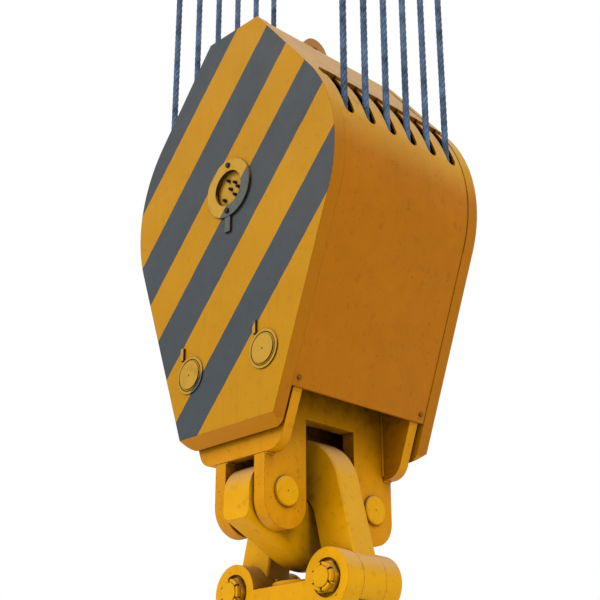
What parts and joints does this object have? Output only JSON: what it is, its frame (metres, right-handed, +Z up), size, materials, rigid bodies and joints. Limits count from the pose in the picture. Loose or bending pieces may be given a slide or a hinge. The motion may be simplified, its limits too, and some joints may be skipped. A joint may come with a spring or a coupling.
{
  "type": "travelling block with hook",
  "caption": "Travelling block with striped side plates and rope sheaves in a sheet casing, hung with a bail, a sprung swivel hook and a latch.",
  "frame": {"origin": "centre of the sheave axle, from which the ropes carry the block", "axes": "+Z up the ropes, +Y along the sheave axle from the front side plate to the rear one, +X across the side plates, to the side on which the hook opens"},
  "size_m": [1.6, 1.184, 6.5248],
  "materials": {
    "striped_paint": "yellow enamel with grey hazard stripes",
    "plate_paint": "yellow enamel, worn",
    "casting_paint": "yellow enamel on a cast surface",
    "rope_steel": "greased wire rope",
    "socket_steel": "forged",
    "sheave_steel": "greased casting",
    "bare_steel": "machined",
    "spring_steel": "black enamel",
    "bolt_steel": "painted over"
  },
  "bodies": {
    "root": {"axle_cap_bolts": "bolt_steel", "axle_end_caps": "plate_paint", "bail_pins": "casting_paint", "bail_washers": "casting_paint", "bearing_inner_rings": "bare_steel", "cover_bolts": "bolt_steel", "front_hanger_plate": "plate_paint", "front_side_plate": "striped_paint", "grease_fittings": "bare_steel", "left_lug_plate": "plate_paint", "left_side_cover": "plate_paint", "left_top_cover": "plate_paint", "lower_bail": "casting_paint", "pin_keepers": "plate_paint", "rear_hanger_plate": "plate_paint", "rear_side_plate": "striped_paint", "right_lug_plate": "plate_paint", "right_side_cover": "plate_paint", "right_top_cover": "plate_paint", "rope_1": "rope_steel", "rope_2": "rope_steel", "rope_3": "rope_steel", "rope_4": "rope_steel", "rope_5": "rope_steel", "rope_6": "rope_steel", "rope_sockets": "socket_steel", "sheave_axle": "bare_steel", "spacer_rings": "bare_steel", "tie_pins": "plate_paint", "top_beam": "plate_paint"},
    "sheave_1": {"sheave_1": "sheave_steel", "bearing_outer_ring_1": "bare_steel"},
    "sheave_2": {"sheave_2": "sheave_steel", "bearing_outer_ring_2": "bare_steel"},
    "sheave_3": {"sheave_3": "sheave_steel", "bearing_outer_ring_3": "bare_steel"},
    "sheave_4": {"sheave_4": "sheave_steel", "bearing_outer_ring_4": "bare_steel"},
    "sheave_5": {"sheave_5": "sheave_steel", "bearing_outer_ring_5": "bare_steel"},
    "sheave_6": {"sheave_6": "sheave_steel", "bearing_outer_ring_6": "bare_steel"},
    "hook_frame": {"hook_bail": "casting_paint", "hook_body": "casting_paint", "hook_pins": "casting_paint", "castle_nuts": "casting_paint", "barrel_cap": "casting_paint", "cap_screws": "bolt_steel", "outer_spring": "spring_steel", "inner_spring": "spring_steel"},
    "carrier": {"spring_carrier": "bare_steel", "thrust_bearing": "bare_steel"},
    "hook": {"main_hook": "casting_paint", "stem_nut": "bare_steel", "latch_pin": "bare_steel", "link_lock_pins": "bare_steel"},
    "latch": {"latch": "casting_paint"},
    "rear_lock": {"rear_link_lock": "casting_paint"},
    "front_lock": {"front_link_lock": "casting_paint"}
  },
  "joints": [
    {"name": "sheave_1_turn", "type": "hinge", "parent": "root", "child": "sheave_1", "pos_m": [0, -0.4095, 0], "axis": [0, 1, 0], "continuous": true},
    {"name": "sheave_2_turn", "type": "hinge", "parent": "root", "child": "sheave_2", "pos_m": [0, -0.2457, 0], "axis": [0, 1, 0], "continuous": true},
    {"name": "sheave_3_turn", "type": "hinge", "parent": "root", "child": "sheave_3", "pos_m": [0, -0.0819, 0], "axis": [0, 1, 0], "continuous": true},
    {"name": "sheave_4_turn", "type": "hinge", "parent": "root", "child": "sheave_4", "pos_m": [0, 0.0819, 0], "axis": [0, 1, 0], "continuous": true},
    {"name": "sheave_5_turn", "type": "hinge", "parent": "root", "child": "sheave_5", "pos_m": [0, 0.2457, 0], "axis": [0, 1, 0], "continuous": true},
    {"name": "sheave_6_turn", "type": "hinge", "parent": "root", "child": "sheave_6", "pos_m": [0, 0.4095, 0], "axis": [0, 1, 0], "continuous": true},
    {"name": "hook_swing", "type": "hinge", "parent": "root", "child": "hook_frame", "pos_m": [0, 0, -1.77], "axis": [0, 1, 0], "range_deg": [-12, 12]},
    {"name": "spring_stroke", "type": "slide", "parent": "hook_frame", "child": "carrier", "axis": [0, 0, 1], "range_m": [-0.2, 0], "stiffness_N_per_m": 185000, "springref_m": 0.18, "deforming": ["outer_spring", "inner_spring"]},
    {"name": "hook_swivel", "type": "hinge", "parent": "carrier", "child": "hook", "pos_m": [0, 0, -2.8], "axis": [0, 0, 1], "continuous": true},
    {"name": "latch_swing", "type": "hinge", "parent": "hook", "child": "latch", "pos_m": [0.122, 0, -3.485], "axis": [0, 1, 0], "range_deg": [0, 30], "stiffness_Nm_per_rad": 40, "springref_deg": -34.38},
    {"name": "rear_lock_lift", "type": "hinge", "parent": "hook", "child": "rear_lock", "pos_m": [0, 0.124, -3.272], "axis": [1, 0, 0], "range_deg": [0, 50]},
    {"name": "front_lock_lift", "type": "hinge", "parent": "hook", "child": "front_lock", "pos_m": [0, -0.124, -3.272], "axis": [-1, 0, 0], "range_deg": [0, 50]}
  ]
}
